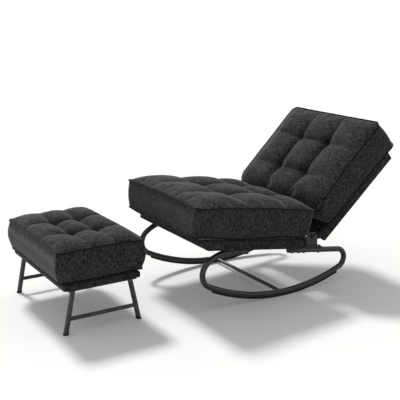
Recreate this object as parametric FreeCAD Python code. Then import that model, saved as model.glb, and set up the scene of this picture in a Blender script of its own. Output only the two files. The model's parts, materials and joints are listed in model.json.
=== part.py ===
import FreeCAD, Part
import math
import os

# Rocking recliner with a loose ottoman. Millimetres, +Z up, floor at z = 0.
# The chair faces -Y and is modelled about its own middle plane, x = 0, with the rocking axis at y = 0.
# At the end the whole set is moved so that the origin is under the centre of its bounding box.
Vector = FreeCAD.Vector
Rotation = FreeCAD.Rotation
Placement = FreeCAD.Placement
X_AXIS = Vector(1, 0, 0)
Y_AXIS = Vector(0, 1, 0)
Z_AXIS = Vector(0, 0, 1)
SIDES = (("left", 1), ("right", -1))

# Rocker loops: one bent tube on each side, with a runner pad under its arc
rocker_x = 258.0
tube_radius = 12.0
tube_wall = 1.5
rocker_radius = 840.0
front_sweep_radius = 150.0
front_sweep_end = 128.0
front_bend_radius = 60.0
rear_bend_radius = 43.0
front_tube_end = -200.0
rear_tube_end = 18.0
drill_overrun = 10.0
pad_thickness = 5.0
pad_width = 18.0
pad_wrap = 5.0
pad_end_margin = 1.5
cross_bar_y = -18.0
cross_bar_radius = 8.0
cross_bar_wall = 1.2
plug_flange = 3.0
plug_depth = 11.0

# Seat: a wrapped wooden frame, sloping down to the rear, and a tufted box cushion on it
seat_slope = 8.4
seat_underside = 210.0
seat_board_front = -411.0
seat_board_rear = 91.0
board_half_width = 289.0
board_thickness = 42.0
board_corner = 7.0
wrap = 1.5
rail_width = 50.0
deck_thickness = 15.0
middle_rail_at = -185.0
dust_cover_thickness = 1.0
dust_cover_gap = 1.0
seat_cushion_front = -483.0
cushion_lift = 0.3

# Back: the same build, turned up about the recline pivots
back_angle = 48.7
recline_y = 150.0
recline_z = 238.0
back_board_low = 14.0
back_board_high = 507.0
back_board_front = 1.0
back_board_thickness = 46.0
back_rail_width = 25.0
back_panel_thickness = 8.0
back_panel_low = 42.0
back_bottom_rail_low = 68.0
back_cross_rail_width = 34.0
back_cushion_low = 72.0

# Recline hinges: bracket with ratchet teeth on the rocker tube, arm let into the back rail, sprung catch
hinge_plate = 5.0
hinge_gap = 0.5
pin_radius = 6.0
pin_clearance = 0.05
pin_head_radius = 10.0
pin_head = 4.0
bracket_inner_x = 257.0
bracket_boss = 16.0
bracket_foot_front = 94.0
bracket_foot_rear = 194.0
bracket_foot_half_width = 13.0
bracket_web_front = 95.0
bracket_web_shoulder = 34.0
bracket_web_notch = (112.0, 12.0)
bracket_web_step = (107.0, 62.0)
bracket_web_rear = 174.0
arm_boss = 17.0
arm_neck_angle = 40.0
arm_length = 150.0
arm_front = -15.0
arm_rear = -37.0
ratchet_root = 18.5
ratchet_crest = 22.0
ratchet_pitch = 10.0
ratchet_notches = (-10.0, 0.0, 10.0, 20.0, 30.0)
catch_tip_angle = 10.0
catch_clearance = 0.7
catch_length = 34.0
catch_half_width = 5.0
catch_pin_radius = 3.0
catch_pin_clearance = 0.05
catch_spring_thickness = 0.8
catch_spring_gap = 0.4
catch_spring_reach = 15.0
catch_boss = 6.0
catch_pocket_inner_x = 250.0
catch_pocket_margin = 1.0

# Ottoman: tufted box cushion on a wrapped board, two splayed leg frames
ottoman_x = -99.0
ottoman_y = -803.0
ottoman_board_half_width = 274.0
ottoman_board_half_depth = 160.0
ottoman_board_low = 174.5
ottoman_board_high = 199.0
ottoman_board_corner = 6.0
leg_x = 260.0
leg_radius = 10.0
leg_wall = 1.5
leg_top_y = 119.0
leg_foot_y = 154.0
leg_end_z = 3.0
leg_overrun = 0.1
foot_cap_radius = 10.8
foot_cap_height = 9.0
mount_bar_width = 26.0
mount_bar_thickness = 3.0
mount_bar_half_length = 143.0
stretcher_z = 60.0
stretcher_radius = 8.0
stretcher_wall = 1.2

# Cushions: width, depth, bottom seam height, border between the seams, how far the bottom seam is drawn in,
# crown over the top seam, foam slab thickness, the places of the sewn tufts, across and from the front, and
# the share of the border that is left at the front, where the back's cushion thins toward the seat
SEAT_CUSHION = dict(width=600.0, depth=588.0, seam=9.4, border=115.0, draw=8.0, crown=36.0, foam=95.0,
                    across=(-100.0, 100.0), along=(236.0, 438.0), lean=0.0, low_end=0.0)
BACK_CUSHION = dict(width=600.0, depth=473.0, seam=9.4, border=128.6, draw=4.0, crown=24.0, foam=50.0,
                    across=(-92.0, 92.0), along=(143.0, 313.0), lean=0.206, low_end=0.224)
OTTOMAN_CUSHION = dict(width=548.0, depth=354.0, seam=7.3, border=116.4, draw=3.0, crown=23.0, foam=80.0,
                       across=(-88.0, 88.0), along=(113.0, 241.0), lean=0.0, low_end=0.0)
cover_thickness = 3.0
foam_margin = 48.0
foam_rest = 3.6
foam_corner = 12.0
tuft_radius = 72.0
tuft_depth = 24.0
fold_half_width = 46.0
fold_depth = 11.0
dimple_pin = 2.5
cushion_foot = 34.0
side_bulge = 4.0
loft_degree = 3
# From each end of a cushion: distance, plan inset, share of the crown, share of the bottom's roll
CUSHION_STATIONS = ((0.0, 17.0, 0.03, 0.8), (13.0, 4.5, 0.16, 0.4), (42.0, 0.0, 0.45, 0.0))
quarter_station = (0.28, 4.0, 0.88)
middle_station = (0.5, 6.0, 1.0)
low_end_reach = 80.0

# Fasteners
rocker_bolt_radius = 4.0
rocker_bolt_head = 6.5
rocker_bolt_head_height = 2.0
rocker_bolt_places = (-262.0, -225.0, 38.0, 74.0)
tee_barrel_radius = 5.5
tee_barrel = 14.0
tee_flange_radius = 10.0
tee_flange = 1.6
bracket_bolt_radius = 3.0
bracket_bolt_head = 5.0
bracket_bolt_head_height = 4.0
bracket_nut_height = 3.0
bracket_bolt_places = (103.0, 185.0)
screw_radius = 2.0
screw_head = 4.2
screw_head_height = 2.4
screw_length = 15.0
screw_head_room = 1.0
arm_screw_places = (70.0, 105.0, 138.0)
ottoman_screw_places = (-136.0, 0.0, 136.0)
hole_clearance = 0.1

rocker_axis_z = rocker_radius + tube_radius + pad_thickness
rocker_centre = Vector(0, 0, rocker_axis_z)
seat_frame = Placement(Vector(0, 0, seat_underside), Rotation(X_AXIS, -seat_slope))
back_frame = Placement(Vector(0, recline_y, recline_z), Rotation(X_AXIS, 90 - back_angle))
ottoman_frame = Placement(Vector(ottoman_x, ottoman_y, 0), Rotation())
along_seat = seat_frame.Rotation.multVec(Y_AXIS)
seat_normal = seat_frame.Rotation.multVec(Z_AXIS)
arm_inner_x = bracket_inner_x + hinge_plate + hinge_gap
arm_outer_x = arm_inner_x + hinge_plate
back_rail_inner_x = board_half_width - wrap - back_rail_width


def box(x_span, y_span, z_span):
    low = Vector(x_span[0], y_span[0], z_span[0])
    return Part.makeBox(x_span[1] - x_span[0], y_span[1] - y_span[0], z_span[1] - z_span[0], low)


def rounded_box(x_span, y_span, z_span, radius):
    plain = box(x_span, y_span, z_span)
    return plain.makeFillet(radius, plain.Edges)


def rod(start, end, radius):
    reach = end - start
    return Part.makeCylinder(radius, reach.Length, start, reach)


def pipe(start, end, radius, wall):
    return rod(start, end, radius).cut(rod(start, end, radius - wall))


def plate(points, x_low, thickness):
    """A flat plate across X, from its outline in Y and Z."""
    corners = [Vector(x_low, y, z) for y, z in points]
    outline = Part.makePolygon(corners + corners[:1])
    return Part.Face(outline).extrude(Vector(thickness, 0, 0))


def disc(y, z, radius, x_low, thickness):
    return Part.makeCylinder(radius, thickness, Vector(x_low, y, z), X_AXIS)


def hexagon(radius, height, base, direction):
    corners = [Vector(radius * math.cos(k * math.pi / 3), radius * math.sin(k * math.pi / 3), 0)
               for k in range(6)]
    head = Part.Face(Part.makePolygon(corners + corners[:1])).extrude(Vector(0, 0, height))
    head.Placement = Placement(base, Rotation(Z_AXIS, direction))
    return head


def placed(shape, frame):
    moved = shape.copy()
    moved.Placement = frame.multiply(moved.Placement)
    return moved


def mirrored(shape):
    return shape.mirror(Vector(0, 0, 0), X_AXIS)


def both_sides(shape):
    return Part.makeCompound([shape, mirrored(shape)])


def fused(shapes):
    return shapes[0].multiFuse(shapes[1:]).removeSplitter()


def polar(vector):
    return math.degrees(math.atan2(vector.z, vector.y))


def toward(angle):
    """Unit vector at a polar angle in the YZ plane."""
    turn = math.radians(angle)
    return Vector(0, math.cos(turn), math.sin(turn))


def bend_centre(top_offset, bend_radius, toward_rear):
    """Centre of a bend that meets the rocking arc without a kink, at an offset from the straight top bar."""
    start = Vector(0, 0, seat_underside) - seat_normal * tube_radius + top_offset - rocker_centre
    lengthwise = start.dot(along_seat)
    reach = rocker_radius - bend_radius
    step = math.sqrt(lengthwise ** 2 - start.dot(start) + reach ** 2)
    distance = -lengthwise + step if toward_rear else -lengthwise - step
    return rocker_centre + start + along_seat * distance


def front_centres():
    """Centres of the front's long sweep, which leaves the top bar, and of the tight bend that follows it."""
    between = toward(front_sweep_end) * (front_sweep_radius - front_bend_radius)
    bend = bend_centre(between - seat_normal * front_sweep_radius, front_bend_radius, False)
    return bend - between, bend


def rear_centre():
    return bend_centre(-seat_normal * rear_bend_radius, rear_bend_radius, True)


def bent_tube(radius):
    """The loop's solid bar of the given radius: front bar, sweep, bend, arc, rear bend, rear bar."""
    sweep, front = front_centres()
    rear = rear_centre()
    top = polar(seat_normal)
    front_turn = polar(front - rocker_centre) % 360
    rear_turn = polar(rear - rocker_centre) % 360
    arcs = ((sweep, front_sweep_radius, top, front_sweep_end),
            (front, front_bend_radius, front_sweep_end, front_turn),
            (rocker_centre, rocker_radius, front_turn, rear_turn),
            (rear, rear_bend_radius, rear_turn, top + 360))
    pieces = [arc_bar(centre, bend, start, end, radius) for centre, bend, start, end in arcs]
    bar_line = Vector(0, 0, seat_underside) - seat_normal * tube_radius
    for end, bend, bend_radius in ((front_tube_end, sweep, front_sweep_radius),
                                   (rear_tube_end, rear, rear_bend_radius)):
        pieces.append(rod(bar_line + along_seat * end, bend + seat_normal * bend_radius, radius))
    loop = fused(pieces)
    loop.translate(Vector(rocker_x, 0, 0))
    return loop


def arc_bar(centre, bend_radius, start, end, radius):
    """A round bar bent about an axis along X, between two polar angles in the YZ plane."""
    middle = centre + toward(start) * bend_radius
    section = Part.Face(Part.Wire(Part.makeCircle(radius, middle, toward(start + 90))))
    return section.revolve(centre, X_AXIS, end - start)


def runner_pad(loop_bar):
    """Strip under the rocking arc, notched for the cross bar; its lower face is round about the axis."""
    start = polar(front_centres()[1] - rocker_centre) % 360 + pad_end_margin
    end = polar(rear_centre() - rocker_centre) % 360 - pad_end_margin
    outward = toward(start)
    inner = rocker_centre + outward * (rocker_axis_z - pad_thickness - pad_wrap)
    outer = rocker_centre + outward * rocker_axis_z
    half = Vector(pad_width / 2, 0, 0)
    middle = Vector(rocker_x, 0, 0)
    corners = [middle + inner - half, middle + inner + half, middle + outer + half, middle + outer - half]
    strip = Part.Face(Part.makePolygon(corners + corners[:1])).revolve(rocker_centre, X_AXIS, end - start)
    return strip.cut(loop_bar).cut(cross_bar_rod())


def cross_bar_ends():
    height = rocker_axis_z - math.sqrt(rocker_radius ** 2 - cross_bar_y ** 2)
    return Vector(-rocker_x, cross_bar_y, height), Vector(rocker_x, cross_bar_y, height)


def cross_bar_rod():
    start, end = cross_bar_ends()
    return rod(start, end, cross_bar_radius)


def cross_bar(loop_bar):
    start, end = cross_bar_ends()
    return pipe(start, end, cross_bar_radius, cross_bar_wall).cut(both_sides(loop_bar))


def end_plug(end, inward):
    """Plastic plug in a cut tube end: a flange the size of the tube and a shank in its bore."""
    face = Vector(rocker_x, 0, seat_underside) - seat_normal * tube_radius + along_seat * end
    flange = rod(face - inward * plug_flange, face, tube_radius)
    shank = rod(face, face + inward * plug_depth, tube_radius - tube_wall)
    return fused([flange, shank])


def along_bolts(places):
    """Points on the rocker tube's top line, under the seat's board, in the seat's own frame."""
    return [Vector(rocker_x, place, 0) for place in places]


def rocker_bolt(point):
    tube_low = -2 * tube_radius
    head_base = Vector(point.x, point.y, tube_low - rocker_bolt_head_height)
    head = hexagon(rocker_bolt_head, rocker_bolt_head_height, head_base, Z_AXIS)
    top = board_thickness - wrap - deck_thickness
    return fused([head, rod(Vector(point.x, point.y, tube_low), Vector(point.x, point.y, top),
                            rocker_bolt_radius)])


def rocker_bolt_hole(point):
    low = Vector(point.x, point.y, -2 * tube_radius - drill_overrun)
    high = Vector(point.x, point.y, board_thickness - wrap - deck_thickness)
    return rod(low, high, rocker_bolt_radius + hole_clearance)


def tee_nut(point, solid=False):
    top = board_thickness - wrap - deck_thickness
    high = Vector(point.x, point.y, top)
    barrel = rod(high - Z_AXIS * tee_barrel, high, tee_barrel_radius)
    flange = rod(high - Z_AXIS * tee_flange, high, tee_flange_radius)
    body = fused([barrel, flange])
    return body if solid else body.cut(rocker_bolt_hole(point))


def bracket_bolt(point):
    shank_low = -2 * tube_radius - bracket_nut_height
    foot_top = Vector(point.x, point.y, hinge_plate)
    head = hexagon(bracket_bolt_head, bracket_bolt_head_height, foot_top, Z_AXIS)
    return fused([head, rod(Vector(point.x, point.y, shank_low), foot_top, bracket_bolt_radius)])


def bracket_hole(point):
    return rod(point - Z_AXIS * (2 * tube_radius + drill_overrun), point + Z_AXIS * drill_overrun,
               bracket_bolt_radius + hole_clearance)


def bracket_nut(point):
    low = Vector(point.x, point.y, -2 * tube_radius - bracket_nut_height)
    return hexagon(bracket_bolt_head, bracket_nut_height, low, Z_AXIS).cut(bracket_hole(point))


def board_envelope(half_width, y_span, z_span, corner, inset):
    return rounded_box((-half_width + inset, half_width - inset),
                       (y_span[0] + inset, y_span[1] - inset),
                       (z_span[0] + inset, z_span[1] - inset), corner - inset)


def seat_envelope(inset):
    return board_envelope(board_half_width, (seat_board_front, seat_board_rear), (0, board_thickness),
                          board_corner, inset)


def seat_rail_box(name):
    inner = board_half_width - rail_width
    z_span = (0, board_thickness - wrap - deck_thickness)
    if name == "side":
        return box((inner, board_half_width), (seat_board_front, seat_board_rear), z_span)
    low = {"front": seat_board_front, "middle": middle_rail_at, "rear": seat_board_rear - rail_width}[name]
    return box((-inner, inner), (low, low + rail_width), z_span)


def seat_opening(grow):
    """The gap in the wrap's underside, which the dust cover closes."""
    half = board_half_width - rail_width + grow
    return box((-half, half), (seat_board_front + rail_width - grow, seat_board_rear - rail_width + grow),
               (-wrap, wrap))


def seat_frame_nodes():
    solid = seat_envelope(wrap)
    holes = [rocker_bolt_hole(point) for point in along_bolts(rocker_bolt_places)]
    nuts = [tee_nut(point, solid=True) for point in along_bolts(rocker_bolt_places)]
    side_rail = seat_rail_box("side").common(solid).cut(Part.makeCompound(holes + nuts))
    deck = box((-board_half_width, board_half_width), (seat_board_front, seat_board_rear),
               (board_thickness - wrap - deck_thickness, board_thickness)).common(solid)
    skin = seat_envelope(0).cut(solid).cut(seat_opening(0)).cut(both_sides(Part.makeCompound(holes)))
    sheet = seat_opening(-dust_cover_gap).common(
        box((-board_half_width, board_half_width), (seat_board_front, seat_board_rear),
            (wrap - dust_cover_thickness, wrap)))
    nodes = {
        "seat_side_rail_left": side_rail,
        "seat_side_rail_right": mirrored(side_rail),
        "seat_deck": deck,
        "seat_frame_cover": skin,
        "seat_dust_cover": sheet,
    }
    for name in ("front", "middle", "rear"):
        nodes["seat_%s_rail" % name] = seat_rail_box(name).common(solid)
    return {name: placed(shape, seat_frame) for name, shape in nodes.items()}


def cushion_section(y, half, draw, crown, bottom, seam, top_seam):
    """One closed outline across a cushion: flat underside, sides between the two seams, crowned top."""
    foot = half - cushion_foot
    low_half = half - draw
    middle = (seam + top_seam) / 2
    side_middle = half - draw / 2 + side_bulge
    foot_left = Vector(-foot, y, bottom)
    foot_right = Vector(foot, y, bottom)
    low_right = Vector(low_half, y, seam)
    low_left = Vector(-low_half, y, seam)
    top_right = Vector(half, y, top_seam)
    top_left = Vector(-half, y, top_seam)
    edges = [
        Part.LineSegment(foot_left, foot_right),
        Part.LineSegment(foot_right, low_right),
        Part.Arc(low_right, Vector(side_middle, y, middle), top_right),
        Part.Arc(top_right, Vector(0, y, top_seam + crown), top_left),
        Part.Arc(top_left, Vector(-side_middle, y, middle), low_left),
        Part.LineSegment(low_left, foot_left),
    ]
    return Part.Wire([edge.toShape() for edge in edges])


def cushion_stations(depth, inset):
    """From front to rear: distance, plan inset, share of the crown, share of the bottom's roll."""
    ends = [(max(gap, inset), plan, crown, roll) for gap, plan, crown, roll in CUSHION_STATIONS]
    quarter = (quarter_station[0] * depth, quarter_station[1], quarter_station[2], 0.0)
    middle = (middle_station[0] * depth, middle_station[1], middle_station[2], 0.0)
    front_half = ends + [quarter]
    rear_half = [(depth - gap, plan, crown, roll) for gap, plan, crown, roll in reversed(front_half)]
    return front_half + [middle] + rear_half


def lip_face(radius, depth, rim_z):
    """Half outline of a pulled-in fold: from a narrow bottom up a round lip to the rim, in X and Z."""
    reach = radius - dimple_pin
    lip_radius = (reach ** 2 + depth ** 2) / (2 * depth)
    half_turn = math.atan2(reach, lip_radius - depth) / 2
    lip_middle = Vector(radius - lip_radius * math.sin(half_turn), 0,
                        rim_z - lip_radius + lip_radius * math.cos(half_turn))
    bottom = Vector(0, 0, rim_z - depth)
    pin = Vector(dimple_pin, 0, rim_z - depth)
    rim = Vector(radius, 0, rim_z)
    rim_top = Vector(radius, 0, rim_z + 2 * depth)
    middle_top = Vector(0, 0, rim_z + 2 * depth)
    edges = [
        Part.LineSegment(bottom, pin),
        Part.Arc(pin, lip_middle, rim),
        Part.LineSegment(rim, rim_top),
        Part.LineSegment(rim_top, middle_top),
        Part.LineSegment(middle_top, bottom),
    ]
    return Part.Face(Part.Wire([edge.toShape() for edge in edges]))


def tuft_dimple(x, y, rim_z):
    """Round-lipped funnel that a sewn tuft pulls into a cushion's top."""
    funnel = lip_face(tuft_radius, tuft_depth, rim_z).revolve(Vector(0, 0, 0), Z_AXIS, 360)
    funnel.translate(Vector(x, y, 0))
    return funnel


def fold_groove(length, rim_z):
    """Shallow fold along Y, both lips, which fades out where the crown falls away."""
    half = lip_face(fold_half_width, fold_depth, rim_z).extrude(Vector(0, length, 0))
    return fused([half, mirrored(half)])


def sunk(size, y):
    """How far a cushion's top seam lies below its full height, at a distance from its front or low end."""
    share = size["lean"] * (1 - y / size["depth"]) + size["low_end"] * max(0, 1 - y / low_end_reach)
    return size["border"] * share


def cushion_body(size, inset):
    """A crowned box cushion with its tufts; y runs from its front, z from what it rests on."""
    half = size["width"] / 2 - inset
    seam = size["seam"]
    top_seam = seam + size["border"] - inset
    wires = []
    for y, plan, crown_share, roll in cushion_stations(size["depth"], inset):
        bottom = max(inset, seam * roll)
        crown = size["crown"] * crown_share
        section_top = top_seam - sunk(size, y)
        wires.append(cushion_section(y, half - plan, size["draw"], crown, bottom, seam, section_top))
    underside = box((-half, half), (0, size["depth"]), (-seam, inset))
    body = Part.makeLoft(wires, True, False, False, loft_degree).cut(underside)
    lean_angle = math.degrees(math.atan2(size["lean"] * size["border"], size["depth"]))
    for x in size["across"]:
        rim = top_seam + size["crown"] * (1 - (x / half) ** 2)
        groove = fold_groove(size["depth"], rim)
        groove.rotate(Vector(0, size["depth"], rim), X_AXIS, lean_angle)
        groove.translate(Vector(x, 0, 0))
        body = body.cut(groove)
        for y in size["along"]:
            body = body.cut(tuft_dimple(x, y, rim - sunk(size, y)))
    for y in size["along"]:
        groove = fold_groove(size["width"], top_seam + size["crown"] - sunk(size, y))
        groove.Placement = Placement(Vector(size["width"] / 2, y, 0), Rotation(Z_AXIS, 90))
        body = body.cut(groove)
    return body


def foam_core(size):
    """Foam slab that lies on the inside of the cover's bottom."""
    half = size["width"] / 2 - foam_margin
    return rounded_box((-half, half), (foam_margin, size["depth"] - foam_margin),
                       (foam_rest, foam_rest + size["foam"]), foam_corner)


def cushion_nodes(name, size, frame):
    cover = cushion_body(size, 0).cut(cushion_body(size, cover_thickness))
    return {name + "_cushion_cover": placed(cover, frame),
            name + "_cushion_core": placed(foam_core(size), frame)}


def seat_cushion_nodes():
    stand = Placement(Vector(0, seat_cushion_front, board_thickness + cushion_lift), Rotation())
    return cushion_nodes("seat", SEAT_CUSHION, seat_frame.multiply(stand))


def back_cushion_nodes():
    stand = Placement(Vector(0, back_cushion_low, back_board_front + cushion_lift), Rotation())
    return cushion_nodes("back", BACK_CUSHION, back_frame.multiply(stand))


def ottoman_cushion_nodes():
    stand = Placement(Vector(0, -OTTOMAN_CUSHION["depth"] / 2, ottoman_board_high + cushion_lift), Rotation())
    return cushion_nodes("ottoman", OTTOMAN_CUSHION, ottoman_frame.multiply(stand))


def ratchet_outline():
    """Toothed sector about the pivot, with a notch for each held position of the back."""
    rest = 90 - back_angle + catch_tip_angle
    half = ratchet_pitch / 2
    places = [(rest - notch, ratchet_root) for notch in sorted(ratchet_notches, reverse=True)]
    outline = [(places[0][0] - half, ratchet_crest)]
    for angle, radius in places:
        outline.append((angle, radius))
        outline.append((angle + half, ratchet_crest))
    points = [(recline_y, recline_z)]
    for angle, radius in outline:
        turn = math.radians(angle)
        points.append((recline_y + radius * math.cos(turn), recline_z + radius * math.sin(turn)))
    return points


def hinge_bracket():
    """Foot on the rocker's rear bar, web notched for a bolt head, boss and ratchet teeth: one steel plate."""
    pivot = seat_frame.inverse().multVec(Vector(0, recline_y, recline_z))
    foot = box((rocker_x - bracket_foot_half_width, rocker_x + bracket_foot_half_width),
               (bracket_foot_front, bracket_foot_rear), (0, hinge_plate))
    foot = foot.cut(Part.makeCompound([bracket_hole(point) for point in along_bolts(bracket_bolt_places)]))
    notch_rear, notch_top = bracket_web_notch
    step_front, step_top = bracket_web_step
    web = plate([(notch_rear, 0), (bracket_web_rear, 0), (pivot.y + bracket_boss, pivot.z),
                 (pivot.y, pivot.z + bracket_boss), (step_front, step_top),
                 (step_front, bracket_web_shoulder), (bracket_web_front, bracket_web_shoulder),
                 (bracket_web_front, notch_top), (notch_rear, notch_top)], bracket_inner_x, hinge_plate)
    low = placed(fused([foot, web]), seat_frame)
    boss = disc(recline_y, recline_z, bracket_boss, bracket_inner_x, hinge_plate)
    teeth = plate(ratchet_outline(), bracket_inner_x, hinge_plate)
    hole = disc(recline_y, recline_z, pin_radius, bracket_inner_x, hinge_plate)
    return fused([low, boss, teeth]).cut(hole)


def hinge_pin():
    inner_head = disc(recline_y, recline_z, pin_head_radius, bracket_inner_x - pin_head, pin_head)
    shank = disc(recline_y, recline_z, pin_radius, bracket_inner_x, arm_outer_x + hinge_gap - bracket_inner_x)
    outer_head = disc(recline_y, recline_z, pin_head_radius, arm_outer_x + hinge_gap, pin_head)
    return fused([inner_head, shank, outer_head])


def catch_pivot():
    """The catch's pin and tip, in the back's frame: it lies square to the ratchet's radius."""
    turn = math.radians(catch_tip_angle)
    tip_radius = ratchet_crest + catch_clearance
    tip = (tip_radius * math.cos(turn), tip_radius * math.sin(turn))
    return (tip[0] + catch_length * math.sin(turn), tip[1] - catch_length * math.cos(turn)), tip


def catch_point(outward, upward):
    """A point of the catch in the back's frame, from its tip: away from the teeth, and along the finger."""
    _, (tip_y, tip_z) = catch_pivot()
    turn = math.radians(catch_tip_angle)
    return (tip_y + outward * math.cos(turn) - upward * math.sin(turn),
            tip_z + outward * math.sin(turn) + upward * math.cos(turn))


def arm_plan():
    """Outline of the hinge arm above the pivot: a dog-leg into the back's side rail."""
    lean = arm_boss * math.sin(math.radians(arm_neck_angle))
    side = arm_boss * math.cos(math.radians(arm_neck_angle))
    return [(-side, -lean), (arm_boss + hinge_plate, arm_rear), (arm_length, arm_rear),
            (arm_length, arm_front), (arm_boss + hinge_plate, arm_front), (side, lean)]


def arm_screw_point(place):
    return Vector(arm_inner_x, place, (arm_front + arm_rear) / 2)


def arm_screw(place):
    point = arm_screw_point(place)
    head = rod(point - X_AXIS * screw_head_height, point, screw_head)
    return fused([head, rod(point, point + X_AXIS * (hinge_plate + screw_length), screw_radius)])


def arm_screw_hole(place):
    point = arm_screw_point(place)
    return rod(point - X_AXIS * hinge_plate, point + X_AXIS * (hinge_plate + screw_length), screw_radius)


def hinge_arm():
    arm = fused([disc(0, 0, arm_boss, arm_inner_x, hinge_plate), plate(arm_plan(), arm_inner_x, hinge_plate)])
    arm = arm.cut(disc(0, 0, pin_radius + pin_clearance, arm_inner_x, hinge_plate))
    (pin_y, pin_z), _ = catch_pivot()
    arm = arm.cut(disc(pin_y, pin_z, catch_pin_radius, arm_inner_x, hinge_plate))
    return arm.cut(Part.makeCompound([arm_screw_hole(place) for place in arm_screw_places]))


def catch_pin():
    """Headed pin, fixed in the arm, that the catch turns on."""
    (pin_y, pin_z), _ = catch_pivot()
    low = bracket_inner_x - hinge_gap
    shank = disc(pin_y, pin_z, catch_pin_radius, low, arm_outer_x - low)
    head = disc(pin_y, pin_z, catch_half_width, low - hinge_plate / 2, hinge_plate / 2)
    return fused([shank, head])


def ratchet_catch():
    """Sprung finger, drawn lifted just clear of the teeth."""
    (pin_y, pin_z), _ = catch_pivot()
    nose = catch_half_width / 2
    outline = [(0, -nose / 2), (0, nose / 2), (nose, nose), (2 * nose, 0), (catch_half_width, -catch_length),
               (-catch_half_width, -catch_length), (nose, -2 * nose)]
    corners = [catch_point(outward, upward) for outward, upward in outline]
    finger = plate(corners, bracket_inner_x, hinge_plate)
    boss = disc(pin_y, pin_z, catch_boss, bracket_inner_x, hinge_plate)
    hole = disc(pin_y, pin_z, catch_pin_radius + catch_pin_clearance, bracket_inner_x, hinge_plate)
    return fused([finger, boss]).cut(hole)


def catch_spring():
    """Leaf spring that is riveted to the arm and leans on the catch's back."""
    (_, pin_z), _ = catch_pivot()
    press_y, press_z = catch_point(catch_half_width + catch_spring_gap, -catch_length / 2)
    foot_y = press_y + catch_spring_reach
    foot_z = pin_z + catch_half_width
    thick = catch_spring_thickness
    strip = [(press_y, press_z), (press_y + thick, press_z), (foot_y + thick, foot_z),
             (foot_y + 2 * catch_half_width, foot_z), (foot_y + 2 * catch_half_width, foot_z - thick),
             (foot_y, foot_z - thick)]
    leaf = plate(strip, bracket_inner_x + hinge_gap, hinge_plate - 2 * hinge_gap)
    foot = box((bracket_inner_x + hinge_gap, arm_inner_x),
               (foot_y + catch_half_width, foot_y + 2 * catch_half_width),
               (foot_z - catch_half_width, foot_z - thick))
    return fused([leaf, foot])


def back_envelope(inset):
    return board_envelope(board_half_width, (back_board_low, back_board_high),
                          (back_board_front - back_board_thickness, back_board_front), board_corner, inset)


def catch_pocket():
    """Opening through the wrap's lower end, where the arm and the catch come out."""
    return box((catch_pocket_inner_x, arm_outer_x + catch_pocket_margin),
               (back_board_low - wrap, back_panel_low),
               (back_board_front - back_board_thickness - wrap, back_board_front + wrap))


def back_nodes():
    solid = back_envelope(wrap)
    rear = back_board_front - back_board_thickness
    panel_rear = back_board_front - wrap - back_panel_thickness
    arm_housing = plate(arm_plan(), arm_inner_x, hinge_plate)
    screw_holes = Part.makeCompound([arm_screw_hole(place) for place in arm_screw_places])
    side_rail = box((back_rail_inner_x, board_half_width), (back_board_low, back_board_high),
                    (rear, panel_rear)).common(solid).cut(arm_housing).cut(screw_holes)
    across = (-back_rail_inner_x, back_rail_inner_x)
    top_low = back_board_high - wrap - back_cross_rail_width
    top_rail = box(across, (top_low, back_board_high), (rear, panel_rear)).common(solid)
    bottom_rail = box(across, (back_bottom_rail_low, back_bottom_rail_low + back_cross_rail_width),
                      (rear, panel_rear)).common(solid)
    head_points = [arm_screw_point(place) for place in arm_screw_places]
    screw_room = both_sides(Part.makeCompound(
        [rod(point - X_AXIS * hinge_plate, point, screw_head + screw_head_room) for point in head_points]))
    panel = box((-board_half_width, board_half_width), (back_panel_low, back_board_high),
                (panel_rear, back_board_front)).common(solid)
    skin = back_envelope(0).cut(solid).cut(both_sides(catch_pocket()))
    edge = 2 * board_corner
    rear_gap = box((-board_half_width + edge, board_half_width - edge),
                   (back_board_low + edge, back_board_high - edge), (rear, rear + wrap))
    nodes = {
        "back_side_rail_left": side_rail,
        "back_side_rail_right": mirrored(side_rail),
        "back_top_rail": top_rail,
        "back_bottom_rail": bottom_rail.cut(screw_room),
        "back_panel": panel,
        "back_frame_cover": skin.cut(rear_gap),
        "back_rear_cover": rear_gap,
        "hinge_arm_left": hinge_arm(),
        "hinge_arm_right": mirrored(hinge_arm()),
        "arm_screws": both_sides(Part.makeCompound([arm_screw(place) for place in arm_screw_places])),
    }
    for side, sign in SIDES:
        for name, shape in (("catch_pin", catch_pin()), ("catch_spring", catch_spring()),
                            ("ratchet_catch", ratchet_catch())):
            nodes["%s_%s" % (name, side)] = shape if sign > 0 else mirrored(shape)
    return {name: placed(shape, back_frame) for name, shape in nodes.items()}


def rocker_nodes():
    loop_bar = bent_tube(tube_radius)
    bore = bent_tube(tube_radius - tube_wall)
    bolt_points = along_bolts(rocker_bolt_places)
    bracket_points = along_bolts(bracket_bolt_places)
    drill = [rocker_bolt_hole(point) for point in bolt_points]
    drill += [bracket_hole(point) for point in bracket_points]
    tube = loop_bar.cut(bore).cut(placed(Part.makeCompound(drill), seat_frame))
    plugs = Part.makeCompound([end_plug(front_tube_end, -along_seat), end_plug(rear_tube_end, along_seat)])
    groups = {
        "rocker_bolts": [rocker_bolt(point) for point in bolt_points],
        "rocker_tee_nuts": [tee_nut(point) for point in bolt_points],
        "bracket_bolts": [bracket_bolt(point) for point in bracket_points],
        "bracket_nuts": [bracket_nut(point) for point in bracket_points],
    }
    nodes = {"rocker_cross_bar": cross_bar(loop_bar), "tube_end_plugs": both_sides(plugs)}
    for name, shapes in groups.items():
        nodes[name] = both_sides(placed(Part.makeCompound(shapes), seat_frame))
    nodes["rocker_tube_left"] = tube
    nodes["rocker_tube_right"] = placed(tube, Placement(Vector(-2 * rocker_x, 0, 0), Rotation()))
    for name, shape in (("runner_pad", runner_pad(loop_bar)), ("hinge_bracket", hinge_bracket()),
                        ("hinge_pin", hinge_pin())):
        for side, sign in SIDES:
            nodes["%s_%s" % (name, side)] = shape if sign > 0 else mirrored(shape)
    return nodes


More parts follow.
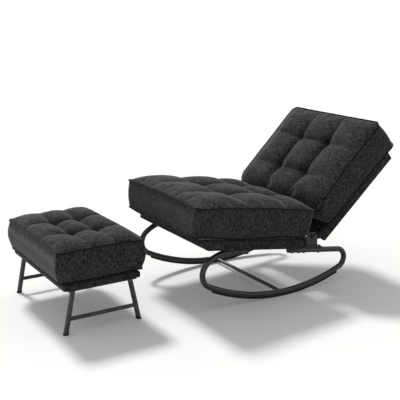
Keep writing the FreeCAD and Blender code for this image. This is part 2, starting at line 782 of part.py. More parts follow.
def leg_rod(radius, end):
    """A leg's full bar on the left side, front or rear, longer than the leg at both ends."""
    foot = Vector(leg_x, end * leg_foot_y, 0)
    top = Vector(leg_x, end * leg_top_y, ottoman_board_low - mount_bar_thickness)
    over = (top - foot) * leg_overrun
    return rod(foot - over, top + over, radius)


def leg_slab(low, high):
    reach = 2 * leg_foot_y
    return box((-reach + leg_x, reach + leg_x), (-reach, reach), (low, high))


def ottoman_leg(end):
    bar = leg_rod(leg_radius, end).cut(leg_rod(leg_radius - leg_wall, end))
    return bar.common(leg_slab(leg_end_z, ottoman_board_low - mount_bar_thickness))


def foot_cap(end):
    cup = leg_rod(foot_cap_radius, end).common(leg_slab(0, foot_cap_height))
    return cup.cut(leg_rod(leg_radius, end).common(leg_slab(leg_end_z, foot_cap_height)))


def stretcher():
    lean = (leg_foot_y - leg_top_y) / (ottoman_board_low - mount_bar_thickness)
    reach = Vector(0, leg_foot_y - lean * stretcher_z, 0)
    middle = Vector(leg_x, 0, stretcher_z)
    tube = pipe(middle - reach, middle + reach, stretcher_radius, stretcher_wall)
    return tube.cut(Part.makeCompound([leg_rod(leg_radius, end) for end in (-1, 1)]))


def ottoman_screw(place):
    bar_low = Vector(leg_x, place, ottoman_board_low - mount_bar_thickness)
    head = rod(bar_low - Z_AXIS * screw_head_height, bar_low, screw_head)
    return fused([head, rod(bar_low, bar_low + Z_AXIS * screw_length, screw_radius)])


def ottoman_screw_hole(place):
    bar_low = Vector(leg_x, place, ottoman_board_low - mount_bar_thickness)
    return rod(bar_low, bar_low + Z_AXIS * screw_length, screw_radius)


def ottoman_envelope(inset):
    return board_envelope(ottoman_board_half_width, (-ottoman_board_half_depth, ottoman_board_half_depth),
                          (ottoman_board_low, ottoman_board_high), ottoman_board_corner, inset)


def ottoman_nodes():
    holes = Part.makeCompound([ottoman_screw_hole(place) for place in ottoman_screw_places])
    screws = Part.makeCompound([ottoman_screw(place) for place in ottoman_screw_places])
    bar = box((leg_x - mount_bar_width / 2, leg_x + mount_bar_width / 2),
              (-mount_bar_half_length, mount_bar_half_length),
              (ottoman_board_low - mount_bar_thickness, ottoman_board_low)).cut(holes)
    solid = ottoman_envelope(wrap)
    nodes = {
        "ottoman_board": solid.cut(both_sides(holes)),
        "ottoman_board_cover": ottoman_envelope(0).cut(solid).cut(both_sides(holes)),
        "ottoman_foot_caps": both_sides(Part.makeCompound([foot_cap(-1), foot_cap(1)])),
        "ottoman_screws": both_sides(screws),
    }
    for name, shape in (("mount_bar", bar), ("stretcher", stretcher()),
                        ("leg_front", ottoman_leg(-1)), ("leg_rear", ottoman_leg(1))):
        for side, sign in SIDES:
            nodes["ottoman_%s_%s" % (name, side)] = shape if sign > 0 else mirrored(shape)
    return {name: placed(shape, ottoman_frame) for name, shape in nodes.items()}


def build():
    nodes = {}
    for group in (rocker_nodes(), seat_frame_nodes(), seat_cushion_nodes(), back_nodes(),
                  back_cushion_nodes(), ottoman_nodes(), ottoman_cushion_nodes()):
        nodes.update(group)
    return nodes


nodes = build()
bounds = Part.makeCompound(list(nodes.values())).optimalBoundingBox(False, False)
set_shift = Vector(-bounds.Center.x, -bounds.Center.y, 0)
os.makedirs("parts", exist_ok=True)
for node_name, node_shape in nodes.items():
    moved = placed(node_shape, Placement(set_shift, Rotation()))
    moved.exportStep("parts/%s.step" % node_name)
print("nodes", len(nodes))
print("set shift", round(set_shift.x, 4), round(set_shift.y, 4))
sizes = [round(value, 1) for value in (bounds.XLength, bounds.YLength, bounds.ZMin, bounds.ZMax)]
print("size", sizes)
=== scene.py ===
import json
import math

import bpy
import numpy as np
from mathutils import Matrix, Vector, noise


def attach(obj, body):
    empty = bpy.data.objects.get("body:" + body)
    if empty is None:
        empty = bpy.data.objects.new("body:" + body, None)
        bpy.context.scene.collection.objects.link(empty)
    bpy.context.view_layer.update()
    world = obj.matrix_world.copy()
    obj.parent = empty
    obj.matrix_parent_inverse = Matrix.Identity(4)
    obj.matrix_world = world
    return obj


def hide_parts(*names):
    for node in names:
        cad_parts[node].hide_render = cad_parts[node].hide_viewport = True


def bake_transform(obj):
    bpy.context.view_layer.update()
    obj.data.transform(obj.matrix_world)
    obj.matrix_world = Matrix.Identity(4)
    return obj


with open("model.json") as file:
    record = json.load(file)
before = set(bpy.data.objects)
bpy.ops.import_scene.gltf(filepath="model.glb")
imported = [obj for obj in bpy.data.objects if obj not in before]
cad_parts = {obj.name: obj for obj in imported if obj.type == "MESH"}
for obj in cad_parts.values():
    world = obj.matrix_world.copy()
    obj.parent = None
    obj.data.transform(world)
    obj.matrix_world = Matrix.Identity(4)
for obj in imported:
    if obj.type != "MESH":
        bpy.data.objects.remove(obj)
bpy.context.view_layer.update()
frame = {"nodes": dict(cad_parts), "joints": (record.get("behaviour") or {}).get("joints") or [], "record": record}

MM = 0.001
TINY = 1e-9
scene = bpy.context.scene
nodes = frame["nodes"]
joint_at = {joint["name"]: Vector(joint["pos_m"]) for joint in frame["joints"]}

# The chair's own frame: x = 0 is its middle plane and y = 0 is under the rocking axis
chair_origin = Vector((joint_at["rock"].x, joint_at["rock"].y, 0.0))


def local_frame(x, y, z, tilt=0.0):
    """A frame in the chair's coordinates (mm), tilted about X (degrees), as a matrix in the row frame (m)."""
    place = Matrix.Translation(chair_origin + Vector((x, y, z)) * MM)
    return place @ Matrix.Rotation(math.radians(tilt), 4, "X")


def resting(board, y, z):
    """A frame at a place (mm) on a board."""
    return board @ Matrix.Translation(Vector((0, y, z)) * MM)


SEAT_SLOPE, BACK_TILT = -8.4, 41.3
SEAT_BOARD = local_frame(0, 0, 210, SEAT_SLOPE)
BACK_BOARD = local_frame(0, 150, 238, BACK_TILT)
OTTOMAN_BOARD = local_frame(-99, -980, 199.3)

# Each cushion: the body it rides on, its frame, its sizes and tufts in mm (tufts across, and along from its
# front), corner radius, how far its sides pull in between the corners, swell of its border, how far its
# bottom seam is drawn in, depth of a tuft, wave of the bottom seam, shares of the border lost evenly toward
# the low end and just at it, noise seed
CUSHIONS = {
    "seat": dict(body="chair_base", frame=resting(SEAT_BOARD, -488, 42.3), width=606, depth=587, seam=12.5,
                 border=112, crown=43, corner=32, pull=7, bulge=4, draw=9, tuft=41, across=(-100, 100),
                 along=(241, 443), wave=5.0, lean=0.0, low_end=0.0, seed=3.0),
    "back": dict(body="back", frame=resting(BACK_BOARD, 75, 1.3), width=600, depth=473, seam=9.4,
                 border=128.6, crown=26, corner=36, pull=4, bulge=4, draw=-4, tuft=32, across=(-92, 92),
                 along=(140, 310), wave=1.0, lean=0.206, low_end=0.29, seed=11.0),
    "ottoman": dict(body="ottoman", frame=OTTOMAN_BOARD, width=550, depth=356, seam=8.3,
                    border=115.4, crown=35, corner=24, pull=4, bulge=11, draw=3, tuft=39, across=(-88, 88),
                    along=(126, 230), wave=1.5, lean=0.0, low_end=0.0, seed=23.0),
}

# Cushion mesh: cell, rim that rises from the underside to the bottom seam, and that seam's wave, in mm
CELL, FOOT = 8.0, 30.0
WAVE_LENGTH, WAVE_START = 345.0, 57.0
# Border lost just at the low end: reach in mm, and how sharply it falls
LOW_END_REACH, LOW_END_POWER = 55.0, 1.5
# Crown: how flat its middle is, and how round its rim
CROWN_POWER, CROWN_ROUND = 6.0, 0.8
# Folds between the tufts, their pinch near a tuft and its dimple: shares of the tuft's depth, reach in mm
FOLD_SHARE, FOLD_REACH, FOLD_POWER, FOLD_FADE = 0.68, 90.0, 2.5, 0.8
PINCH_SHARE, PINCH_REACH = 0.04, 30.0
DIMPLE_SHARE, DIMPLE_REACH = 0.08, 18.0
# Uneven filling: height and length in mm
SWAY, SWAY_LENGTH = 1.6, 90.0
# Cloth: how firmly the border, the top seam and (within a radius in mm) the tufts are held, frames run,
# furthest move in mm, and settings
HOLD_BORDER, HOLD_SEAM, HOLD_FULL, TUFT_HOLD = 0.4, 0.7, 1.0, 7.0
SIM_FRAMES, SIM_CAP = 20, 11.0
CLOTH = dict(quality=6, mass=0.06, tension_stiffness=12, compression_stiffness=12, shear_stiffness=4,
             bending_stiffness=2.0, use_pressure=True, uniform_pressure_force=2.5, shrink_min=-0.012)
# Welts: radii in mm, share of the radius that stands out from the seam, and roundness
TOP_WELT, LOW_WELT, WELT_PROUD, WELT_FACETS, WELT_ORDER = 3.2, 2.6, 0.4, 3, 3
# Folds marked as a mesh attribute for the fabric's painted shade; share of a tuft's depth that counts as full
CREASE, CREASE_FULL = "crease", 0.72

# Sockets of the colour mix node
MIX_FACTOR, MIX_A, MIX_B, MIX_RESULT = 0, 6, 7, 2


def material(name, base=(0.5, 0.5, 0.5, 1.0), roughness=0.5, metallic=0.0):
    made = bpy.data.materials.new(name)
    made.use_nodes = True
    shader = made.node_tree.nodes["Principled BSDF"]
    shader.inputs["Base Color"].default_value = base
    shader.inputs["Roughness"].default_value = roughness
    shader.inputs["Metallic"].default_value = metallic
    return made, made.node_tree, shader


def feed(tree, socket, value):
    """Links a socket to another node's output, or sets it to a constant."""
    if hasattr(value, "links"):
        tree.links.new(value, socket)
    else:
        socket.default_value = value


def add(tree, kind, **inputs):
    """A new shader node with its inputs fed by name."""
    made = tree.nodes.new(kind)
    for name, value in inputs.items():
        feed(tree, made.inputs[name], value)
    return made


def coordinates(tree, kind="Object"):
    return add(tree, "ShaderNodeTexCoord").outputs[kind]


def mapped(tree, vector, scale):
    return add(tree, "ShaderNodeMapping", Scale=scale, Vector=vector).outputs["Vector"]


def noise_node(tree, vector, scale, detail=3.0, rough=0.55, distortion=0.0):
    made = add(tree, "ShaderNodeTexNoise", Scale=scale, Detail=detail, Roughness=rough, Distortion=distortion,
               Vector=vector)
    return made.outputs["Fac"]


def waves(tree, vector, scale, distortion, detail):
    made = add(tree, "ShaderNodeTexWave", Scale=scale, Distortion=distortion, Detail=detail, Vector=vector)
    return made.outputs["Fac"]


def bump(tree, height, strength, distance, **below):
    """Bump from a height; a normal given as Normal lies below it."""
    made = add(tree, "ShaderNodeBump", Strength=strength, Distance=distance, Height=height, **below)
    return made.outputs["Normal"]


def ramp(tree, value, stops):
    """A ramp through stops, each a place and a colour or a grey."""
    made = add(tree, "ShaderNodeValToRGB", Fac=value)
    while len(made.color_ramp.elements) < len(stops):
        made.color_ramp.elements.new(0.5)
    for element, (place, colour) in zip(made.color_ramp.elements, stops):
        element.position = place
        element.color = (colour, colour, colour, 1) if isinstance(colour, float) else (*colour, 1)
    return made.outputs["Color"]


def mixed(tree, a, b, factor, kind="MIX"):
    made = add(tree, "ShaderNodeMix")
    made.data_type = "RGBA"
    made.blend_type = kind
    for socket, value in ((MIX_FACTOR, factor), (MIX_A, a), (MIX_B, b)):
        feed(tree, made.inputs[socket], value)
    return made.outputs[MIX_RESULT]


def maths(tree, operation, a, b):
    made = add(tree, "ShaderNodeMath")
    made.operation = operation
    for socket, value in zip(made.inputs, (a, b)):
        feed(tree, socket, value)
    return made.outputs["Value"]


def weighted(tree, *terms):
    """Sum of outputs, each times its weight."""
    total = None
    for value, weight in terms:
        product = maths(tree, "MULTIPLY", value, weight)
        total = product if total is None else maths(tree, "ADD", total, product)
    return total


def seen_rays(tree):
    """1 for the rays that show the background: straight to the camera, in a gloss or through glass."""
    ray = add(tree, "ShaderNodeLightPath")
    seen = maths(tree, "MAXIMUM", ray.outputs["Is Camera Ray"], ray.outputs["Is Glossy Ray"])
    return maths(tree, "MAXIMUM", seen, ray.outputs["Is Transmission Ray"])


def surface(tree, shader, colour, normal):
    tree.links.new(colour, shader.inputs["Base Color"])
    tree.links.new(normal, shader.inputs["Normal"])


def scaled(colour, share):
    return tuple(share * c for c in colour)


def fabric(name, kind, dark, light, streak, shade_creases=False):
    """Mottled chenille: short streaks, soft blotches, a rib weave, loose fibres, painted shade in the creases."""
    made, tree, shader = material(name, roughness=0.92)
    coords = coordinates(tree, kind)
    streaks = noise_node(tree, mapped(tree, coords, streak), 1.0, detail=4.0, rough=0.62, distortion=0.35)
    blotches = noise_node(tree, coords, 18.0, rough=0.6, distortion=0.6)
    fibres = noise_node(tree, mapped(tree, coords, scaled(streak, 3.2)), 1.0, detail=2.0, rough=0.7)
    tone = weighted(tree, (streaks, 0.60), (blotches, 0.14), (fibres, 0.26))
    middle = tuple(0.55 * d + 0.45 * l for d, l in zip(dark, light))
    colour = ramp(tree, tone, ((0.40, dark), (0.50, middle), (0.61, light)))
    if shade_creases:
        # Painted shade: the colour darkens with the crease mask, down into the folds between the tufts
        crease = add(tree, "ShaderNodeAttribute")
        crease.attribute_name = CREASE
        painted_crease_shade = ramp(tree, crease.outputs["Fac"], ((0.20, 1.0), (0.55, 0.72), (1.0, 0.34)))
        colour = mixed(tree, colour, painted_crease_shade, 1.0, "MULTIPLY")
    ribs = waves(tree, coords, scale=95.0, distortion=2.2, detail=2.0)
    weave = weighted(tree, (ribs, 0.3), (fibres, 0.7))
    coarse = bump(tree, tone, strength=0.35, distance=0.004)
    surface(tree, shader, colour, bump(tree, weave, strength=0.45, distance=0.0012, Normal=coarse))
    tree.links.new(ramp(tree, tone, ((0.3, 0.99), (0.7, 0.84))), shader.inputs["Roughness"])
    shader.inputs["Specular IOR Level"].default_value = 0.06
    shader.inputs["Sheen Weight"].default_value = 0.8
    shader.inputs["Sheen Roughness"].default_value = 0.3
    shader.inputs["Sheen Tint"].default_value = (0.62, 0.62, 0.61, 1)
    return made


def coated(name, base, roughness, grain, wear):
    """Powder coat or paint: fine orange peel, faint mottling and rubbed edges."""
    made, tree, shader = material(name, roughness=roughness)
    coords = coordinates(tree)
    peel = noise_node(tree, coords, grain, detail=2.0, rough=0.5)
    patches = noise_node(tree, coords, 14.0, detail=4.0, rough=0.6)
    colour = ramp(tree, patches, ((0.35, scaled(base, 0.82)), (0.65, scaled(base, 1.22))))
    edge = ramp(tree, add(tree, "ShaderNodeNewGeometry").outputs["Pointiness"], ((0.56, 0.0), (0.66, 1.0)))
    scuffs = ramp(tree, noise_node(tree, coords, 60.0, rough=0.7), ((0.45, 0.0), (0.65, 1.0)))
    colour = mixed(tree, colour, (*wear, 1), maths(tree, "MULTIPLY", edge, scuffs))
    surface(tree, shader, colour, bump(tree, peel, strength=0.16, distance=0.0006))
    gloss = ramp(tree, patches, ((0.3, roughness - 0.07), (0.7, roughness + 0.09)))
    tree.links.new(gloss, shader.inputs["Roughness"])
    shader.inputs["Specular IOR Level"].default_value = 0.36
    shader.inputs["Coat Weight"].default_value = 0.15
    shader.inputs["Coat Roughness"].default_value = 0.3
    return made


def zinc():
    """Dull zinc plate with a fine bloom."""
    made, tree, shader = material("zinc_plate", metallic=1.0)
    coords = coordinates(tree)
    bloom = noise_node(tree, coords, 240.0, detail=4.0, rough=0.6)
    colour = ramp(tree, bloom, ((0.3, (0.03, 0.03, 0.032)), (0.7, (0.07, 0.07, 0.073))))
    fine = noise_node(tree, coords, 1600.0, detail=2.0)
    surface(tree, shader, colour, bump(tree, fine, strength=0.1, distance=0.0004))
    tree.links.new(ramp(tree, bloom, ((0.3, 0.5), (0.7, 0.28))), shader.inputs["Roughness"])
    return made


def moulded(name, base, roughness, grain):
    """Rubber, plastic or felted cloth with a fine grain and dusty scuffs."""
    made, tree, shader = material(name, roughness=roughness)
    coords = coordinates(tree)
    dust = noise_node(tree, coords, 40.0, detail=5.0, rough=0.7)
    colour = ramp(tree, dust, ((0.45, base), (0.8, tuple(c + 0.03 for c in base))))
    surface(tree, shader, colour, bump(tree, noise_node(tree, coords, grain), strength=0.3, distance=0.0006))
    gloss = ramp(tree, dust, ((0.3, roughness - 0.1), (0.7, roughness + 0.1)))
    tree.links.new(gloss, shader.inputs["Roughness"])
    shader.inputs["Specular IOR Level"].default_value = 0.2
    return made


def timber(name, dark, light):
    """Sawn or painted timber with its grain along Y."""
    made, tree, shader = material(name, roughness=0.7)
    stretched = mapped(tree, coordinates(tree), (1.0, 0.12, 1.0))
    grain = waves(tree, stretched, scale=22.0, distortion=5.0, detail=3.0)
    colour = ramp(tree, grain, ((0.2, dark), (0.8, light)))
    surface(tree, shader, colour, bump(tree, grain, strength=0.2, distance=0.0006))
    return made


def foam():
    """Cut upholstery foam."""
    made, tree, shader = material("cushion_foam", roughness=0.95)
    cells = noise_node(tree, coordinates(tree), 900.0, detail=2.0, rough=0.6)
    colour = ramp(tree, cells, ((0.3, (0.60, 0.55, 0.40)), (0.7, (0.78, 0.73, 0.58))))
    surface(tree, shader, colour, bump(tree, cells, strength=0.5, distance=0.001))
    return made


FABRIC_DARK = (0.006, 0.006, 0.0058)
FABRIC_LIGHT = (0.092, 0.092, 0.0884)
cushion_fabric = fabric("charcoal_chenille", "UV", FABRIC_DARK, FABRIC_LIGHT, (155.0, 66.0, 66.0),
                        shade_creases=True)
wrap_fabric = fabric("charcoal_chenille_wrap", "Object", FABRIC_DARK, scaled(FABRIC_LIGHT, 0.8),
                     (130.0, 130.0, 70.0))
# The welts: the same chenille made much darker, as painted shade along the seams
shaded_welt_fabric = fabric("charcoal_welt_painted_shade", "Object", scaled(FABRIC_DARK, 0.6), scaled(FABRIC_LIGHT, 0.12),
                     (200.0, 200.0, 200.0))
FINISHES = {
    "charcoal_fabric": wrap_fabric,
    "foam": foam(),
    "dust_cloth": moulded("dust_cloth", (0.012, 0.012, 0.012), 0.9, 700.0),
    "wood": timber("raw_timber", (0.42, 0.27, 0.14), (0.58, 0.42, 0.25)),
    "black_steel": coated("charcoal_powder_coat", (0.020, 0.0222, 0.0245), 0.33, 900.0, (0.10, 0.10, 0.10)),
    "hinge_steel": coated("hinge_paint", (0.016, 0.0175, 0.019), 0.55, 700.0, (0.05, 0.05, 0.05)),
    "zinc_steel": zinc(),
    "rubber": moulded("runner_rubber", (0.012, 0.012, 0.012), 0.75, 500.0),
    "black_plastic": moulded("black_plastic", (0.016, 0.016, 0.0175), 0.5, 900.0),
}
for part in frame["record"]["subparts"]:
    shown = nodes[part["node"]]
    shown.data.materials.clear()
    shown.data.materials.append(FINISHES[part["material_slot"]])
# The back's wood shows in the open pockets of the ratchet catches, so it is painted
pocket_paint = timber("painted_timber", (0.006, 0.006, 0.006), (0.012, 0.012, 0.012))
for board in ("back_side_rail_left", "back_side_rail_right", "back_bottom_rail", "back_panel"):
    nodes[board].data.materials[0] = pocket_paint


def half_sizes(spec):
    return spec["width"] / 2, spec["depth"] / 2


def tuft_lines(spec):
    """Places of a cushion's columns and rows of tufts, from its middle."""
    return spec["across"], [place - spec["depth"] / 2 for place in spec["along"]]


def rounded(x, y, half_x, half_y, corner):
    """Moves points of a rectangle's rings onto rings with rounded corners."""
    share = np.maximum(np.maximum(np.abs(x) / half_x, np.abs(y) / half_y), TINY)
    radius = corner * share
    over_x = np.abs(x) - (half_x * share - radius)
    over_y = np.abs(y) - (half_y * share - radius)
    at_corner = (over_x > 0) & (over_y > 0)
    length = np.maximum(np.hypot(over_x, over_y), TINY)
    new_x = np.where(at_corner, np.sign(x) * (half_x * share - radius + radius * over_x / length), x)
    new_y = np.where(at_corner, np.sign(y) * (half_y * share - radius + radius * over_y / length), y)
    return new_x, new_y


def pulled_in(x, y, half_x, half_y, pull):
    """Sides drawn in a little between the corners."""
    share_x = 1 - pull / half_x * (1 - (y / half_y) ** 2)
    share_y = 1 - pull / half_y * (1 - (x / half_x) ** 2)
    return x * share_x, y * share_y


def wander(points, seed, length):
    """Slow noise at each point."""
    return np.array([noise.noise(Vector((x / length + seed, y / length - seed, z / length)))
                     for x, y, z in points])


def sunk(spec, y):
    """How far the top seam lies below its full height, at a distance from the cushion's middle."""
    from_low = y + spec["depth"] / 2
    at_end = np.clip(1 - from_low / LOW_END_REACH, 0, 1) ** LOW_END_POWER
    return spec["border"] * (spec["lean"] * (1 - from_low / spec["depth"]) + spec["low_end"] * at_end)


def fold_depth(spec, x, y):
    """How deep the folds between the tufts, and the tufts, lie below a cushion's crown."""
    half_x, half_y = half_sizes(spec)
    columns, rows = tuft_lines(spec)
    deep = spec["tuft"]
    squares = 0.0
    for lines, tufts, across, along, half in ((columns, rows, x, y, half_y), (rows, columns, y, x, half_x)):
        nearest = np.min([np.abs(along - tuft) for tuft in tufts], axis=0)
        low, high = min(tufts), max(tufts)
        outside = np.maximum((low - along) / (half + low), (along - high) / (half - high))
        fade = (1 - np.clip(outside, 0, 1)) ** FOLD_FADE
        depth = deep * (FOLD_SHARE + PINCH_SHARE * np.exp(-(nearest / PINCH_REACH) ** 2)) * fade
        away = np.min([np.abs(across - line) for line in lines], axis=0)
        squares = squares + (depth * np.clip(1 - away / FOLD_REACH, 0, 1) ** FOLD_POWER) ** 2
    total = np.sqrt(squares)
    for column in columns:
        for row in rows:
            away = np.hypot(x - column, y - row)
            total = total + DIMPLE_SHARE * deep * np.exp(-(away / DIMPLE_REACH) ** 2)
    return total


def crown_height(spec, x, y):
    """Height of a cushion's crown over its top seam."""
    half_x, half_y = half_sizes(spec)
    rise = (1 - np.abs(x / half_x) ** CROWN_POWER) * (1 - np.abs(y / half_y) ** CROWN_POWER)
    return spec["crown"] * np.clip(rise, 0, 1) ** CROWN_ROUND


def pin_weights(spec, points, panel, bottom, rim):
    """How firmly each point of a cushion is held while it swells."""
    weights = np.zeros(len(points))
    weights[panel:bottom] = HOLD_BORDER
    weights[bottom:] = HOLD_FULL
    weights[rim] = HOLD_SEAM
    columns, rows = tuft_lines(spec)
    for column in columns:
        for row in rows:
            away = np.hypot(points[:panel, 0] - column, points[:panel, 1] - row)
            weights[:panel][away < TUFT_HOLD] = HOLD_FULL
    return weights


def cushion_grid(spec):
    """A closed cushion in mm in its own frame, with y from its front.

    Gives its points, faces, UV, pin weights, crease mask for painted shade, and top and bottom seam indices.
    """
    half_x, half_y = half_sizes(spec)
    nx, ny, levels = (round(spec[size] / CELL) for size in ("width", "depth", "border"))
    gx, gy = np.meshgrid(np.linspace(-half_x, half_x, nx + 1), np.linspace(-half_y, half_y, ny + 1),
                         indexing="ij")
    index = np.arange(gx.size).reshape(gx.shape)
    gx, gy = gx.ravel(), gy.ravel()
    rim = np.concatenate([index[:-1, 0], index[-1, :-1], index[:0:-1, -1], index[0, :0:-1]])
    panel, count = len(gx), len(rim)
    seam_z, top_z, draw = spec["seam"], spec["seam"] + spec["border"], spec["draw"]

    def outline(x, y, inset):
        a, b = half_x - inset, half_y - inset
        px, py = rounded(x / half_x * a, y / half_y * b, a, b, spec["corner"])
        return pulled_in(px, py, a, b, spec["pull"])

    top_x, top_y = outline(gx, gy, 0.0)
    folded = fold_depth(spec, top_x, top_y)
    top_height = top_z - sunk(spec, top_y) + crown_height(spec, top_x, top_y) - folded
    layers = [np.column_stack([top_x, top_y, top_height])]
    low_x, low_y = outline(gx, gy, draw)
    wave = spec["wave"] * np.cos((low_x + low_y - WAVE_START) / WAVE_LENGTH * 2 * math.pi)
    for level in range(1, levels):
        share = level / levels
        rx, ry = outline(gx[rim], gy[rim], draw * share - spec["bulge"] * math.sin(math.pi * share))
        fall = (spec["border"] - sunk(spec, ry)) * (1 - share)
        layers.append(np.column_stack([rx, ry, seam_z + fall + wave[rim] * share]))
    edge = np.minimum(half_x - draw - np.abs(low_x), half_y - draw - np.abs(low_y))
    lift = np.clip(1 - edge / FOOT, 0, 1) ** 2
    layers.append(np.column_stack([low_x, low_y, (seam_z + wave) * lift]))
    points = np.vstack(layers)
    bottom = len(points) - panel
    seams = [rim] + [start + np.arange(count) for start in range(panel, bottom, count)] + [bottom + rim]

    faces, uv = [], []
    for i in range(nx):
        for j in range(ny):
            quad = [index[i, j], index[i + 1, j], index[i + 1, j + 1], index[i, j + 1]]
            for face in (quad, [bottom + corner for corner in reversed(quad)]):
                faces.append(face)
                uv.extend(tuple(points[corner, :2]) for corner in face)
    ring = points[rim, :2]
    walk = np.concatenate([[0], np.cumsum(np.linalg.norm(np.roll(ring, -1, 0) - ring, axis=1))])
    for level in range(levels):
        above, below = seams[level], seams[level + 1]
        high, low = -level * CELL, -(level + 1) * CELL
        for p in range(count):
            q = (p + 1) % count
            faces.append([above[p], below[p], below[q], above[q]])
            uv.extend(((walk[p], high), (walk[p], low), (walk[p + 1], low), (walk[p + 1], high)))
    weights = pin_weights(spec, points, panel, bottom, rim)
    crease = np.zeros(len(points))
    crease[:panel] = np.clip(folded / (CREASE_FULL * spec["tuft"]), 0, 1)
    points[:, 1] += half_y
    return points, faces, np.array(uv) * MM, weights, crease, seams[0], seams[-1]


def simulate(obj, weights):
    """Swells a cushion with Cloth pressure, held at its underside, border, top seam and tufts."""
    group = obj.vertex_groups.new(name="held")
    for value in sorted(set(weights)):
        if value > 0:
            group.add([int(i) for i in np.nonzero(weights == value)[0]], float(value), "REPLACE")
    cloth = obj.modifiers.new("swell", "CLOTH")
    for setting, value in CLOTH.items():
        setattr(cloth.settings, setting, value)
    cloth.settings.effector_weights.gravity = 0
    cloth.settings.vertex_group_mass = group.name
    cloth.collision_settings.use_collision = False
    cloth.point_cache.frame_start = 1
    cloth.point_cache.frame_end = SIM_FRAMES
    for number in range(1, SIM_FRAMES + 1):
        scene.frame_set(number)
    graph = bpy.context.evaluated_depsgraph_get()
    swollen = np.empty(len(obj.data.vertices) * 3)
    obj.evaluated_get(graph).data.vertices.foreach_get("co", swollen)
    obj.modifiers.remove(cloth)
    obj.vertex_groups.clear()
    scene.frame_set(1)
    return swollen.reshape(-1, 3)


def shade_smooth(mesh):
    mesh.polygons.foreach_set("use_smooth", [True] * len(mesh.polygons))


def make_cushion(name, spec):
    """One swollen cushion in place of its CAD cover, and the indices of its top and bottom seams."""
    points, faces, uv, weights, crease, top_rim, low_rim = cushion_grid(spec)
    points[:, 2] += SWAY * wander(points, spec["seed"], SWAY_LENGTH) * (weights < HOLD_FULL)
    points = points * MM
    mesh = bpy.data.meshes.new(name + "_cushion")
    mesh.from_pydata(points, [], faces)
    mesh.uv_layers.new(name="weave").data.foreach_set("uv", uv.ravel())
    mesh.attributes.new(CREASE, "FLOAT", "POINT").data.foreach_set("value", crease)
    obj = bpy.data.objects.new(name + "_cushion", mesh)
    scene.collection.objects.link(obj)
    move = simulate(obj, weights) - points
    far = np.linalg.norm(move, axis=1)
    points = points + move * np.minimum(1.0, SIM_CAP * MM / np.maximum(far, TINY))[:, None]
    mesh.vertices.foreach_set("co", points.ravel())
    mesh.transform(spec["frame"])
    mesh.update()
    shade_smooth(mesh)
    mesh.materials.append(cushion_fabric)
    smooth = obj.modifiers.new("smooth", "SUBSURF")
    smooth.levels = smooth.render_levels = 1
    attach(obj, spec["body"])
    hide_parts(name + "_cushion_cover")
    return obj, top_rim, low_rim


def welt(name, obj, rim, radius, up, body):
    """Self-welt: a fabric-covered cord along a seam, standing out from it by part of its radius."""
    seam = [obj.data.vertices[int(i)].co.copy() for i in rim]
    middle = sum(seam, Vector()) / len(seam)
    ring = []
    for before, place, after in zip(seam[-1:] + seam[:-1], seam, seam[1:] + seam[:1]):
        outward = (after - before).cross(up).normalized()
        if outward.dot(place - middle) < 0:
            outward.negate()
        ring.append(place + outward * (WELT_PROUD * radius * MM))
    curve = bpy.data.curves.new(name, "CURVE")
    curve.dimensions = "3D"
    curve.bevel_depth = radius * MM
    curve.bevel_resolution = WELT_FACETS
    spline = curve.splines.new("NURBS")
    spline.points.add(len(ring) - 1)
    for point, place in zip(spline.points, ring):
        point.co = (*place, 1)
    spline.use_cyclic_u = True
    spline.order_u = WELT_ORDER
    line = bpy.data.objects.new(name + "_line", curve)
    scene.collection.objects.link(line)
    graph = bpy.context.evaluated_depsgraph_get()
    mesh = bpy.data.meshes.new_from_object(line.evaluated_get(graph))
    bpy.data.objects.remove(line)
    bpy.data.curves.remove(curve)
    made = bpy.data.objects.new(name, mesh)
    scene.collection.objects.link(made)
    shade_smooth(mesh)
    mesh.materials.clear()
    mesh.materials.append(shaded_welt_fabric)
    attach(made, body)


for key, spec in CUSHIONS.items():
    cushion, top_rim, low_rim = make_cushion(key, spec)
    upward = spec["frame"].to_3x3().col[2]
    welt(key + "_welt_top", cushion, top_rim, TOP_WELT, upward, spec["body"])
    welt(key + "_welt_low", cushion, low_rim, LOW_WELT, upward, spec["body"])

# Each leaf spring is copied from its CAD part as a mesh of its own, in place, and the CAD part is hidden
for side in ("left", "right"):
    drawn = nodes["catch_spring_" + side]
    leaf = bpy.data.objects.new("leaf_spring_" + side, drawn.data.copy())
    leaf.matrix_world = drawn.matrix_world.copy()
    scene.collection.objects.link(leaf)
    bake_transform(leaf)
    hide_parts("catch_spring_" + side)

# Camera at the photograph's place and angle; the image is square, and the place is in the chair's frame (mm)
AZIMUTH, ELEVATION = math.radians(58.3), math.radians(14.5)
CAMERA_PLACE = Vector((2781.0, -1979.3, 1236.7))
FOCAL_PIXELS, IMAGE_PIXELS, SENSOR = 793.5, 400, 36.0
RIGHT_PIXELS, DOWN_PIXELS = 0.5, 0.9
level_share = math.cos(ELEVATION)
backward = Vector((math.sin(AZIMUTH) * level_share, -math.cos(AZIMUTH) * level_share, math.sin(ELEVATION)))
lens = bpy.data.cameras.new("camera")
lens.sensor_width = SENSOR
lens.lens = SENSOR * FOCAL_PIXELS / IMAGE_PIXELS
lens.shift_x = -RIGHT_PIXELS / IMAGE_PIXELS
lens.shift_y = DOWN_PIXELS / IMAGE_PIXELS
camera = bpy.data.objects.new("camera", lens)
camera.location = chair_origin + CAMERA_PLACE * MM
camera.rotation_mode = "QUATERNION"
camera.rotation_quaternion = (-backward).to_track_quat("-Z", "Y")
scene.collection.objects.link(camera)
scene.camera = camera

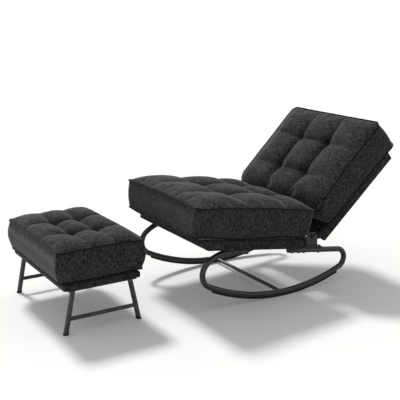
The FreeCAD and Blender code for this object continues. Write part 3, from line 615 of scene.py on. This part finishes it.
# Pale floor, shown white where the light falls full on it
FLOOR_HALF, FLOOR_GLOW = 14.0, 0.10
FLOOR_PAINT, FLOOR_SEEN = (0.80, 0.797, 0.785, 1), (0.94, 0.934, 0.92, 1)
floor_corners = [(x * FLOOR_HALF, y * FLOOR_HALF, 0) for x, y in ((-1, -1), (1, -1), (1, 1), (-1, 1))]
floor_mesh = bpy.data.meshes.new("floor")
floor_mesh.from_pydata(floor_corners, [], [(0, 1, 2, 3)])
floor = bpy.data.objects.new("floor", floor_mesh)
floor_paint, floor_tree, floor_shader = material("floor_paint", FLOOR_PAINT, 0.9)
floor_seen = seen_rays(floor_tree)
floor_colour = mixed(floor_tree, FLOOR_PAINT, FLOOR_SEEN, floor_seen)
floor_tree.links.new(floor_colour, floor_shader.inputs["Base Color"])
floor_glow = maths(floor_tree, "MULTIPLY", floor_seen, FLOOR_GLOW)
floor_tree.links.new(floor_glow, floor_shader.inputs["Emission Strength"])
floor_shader.inputs["Emission Color"].default_value = (1, 1, 1, 1)
floor_shader.inputs["Specular IOR Level"].default_value = 0.1
floor_mesh.materials.append(floor_paint)
scene.collection.objects.link(floor)

# Soft key light from the far left; together with the fill it lights a level white surface to white
KEY_ELEVATION, KEY_TURN, KEY_ANGLE = math.radians(50.0), math.radians(-4.0), math.radians(11.0)
KEY_SHARE = 0.57
sun = bpy.data.lights.new("key", "SUN")
sun.energy = KEY_SHARE * math.pi / math.sin(KEY_ELEVATION)
sun.angle = KEY_ANGLE
sun_object = bpy.data.objects.new("key", sun)
sun_object.rotation_mode = "QUATERNION"
level_way = Vector((math.cos(KEY_TURN), math.sin(KEY_TURN), 0)) * math.cos(KEY_ELEVATION)
shining = level_way - Vector((0, 0, math.sin(KEY_ELEVATION)))
sun_object.rotation_quaternion = shining.to_track_quat("-Z", "Y")
scene.collection.objects.link(sun_object)

# Fill all round, stronger on the key's side, and a white background
FILL_LEAN, FILL_COLOUR = 0.6, (1.0, 0.995, 0.985, 1)
world = bpy.data.worlds.new("studio")
scene.world = world
world.use_nodes = True
sky = world.node_tree
fill = sky.nodes["Background"]
fill.inputs["Color"].default_value = FILL_COLOUR
toward = add(sky, "ShaderNodeSeparateXYZ", Vector=coordinates(sky, "Generated"))
lean = maths(sky, "MULTIPLY", toward.outputs["X"], -FILL_LEAN * (1 - KEY_SHARE))
sky.links.new(maths(sky, "ADD", lean, 1 - KEY_SHARE), fill.inputs["Strength"])
white = add(sky, "ShaderNodeBackground", Color=(1, 1, 1, 1), Strength=1.0)
switch = add(sky, "ShaderNodeMixShader", Fac=seen_rays(sky))
sky.links.new(fill.outputs["Background"], switch.inputs[1])
sky.links.new(white.outputs["Background"], switch.inputs[2])
sky.links.new(switch.outputs["Shader"], sky.nodes["World Output"].inputs["Surface"])

scene.view_settings.view_transform = "Standard"
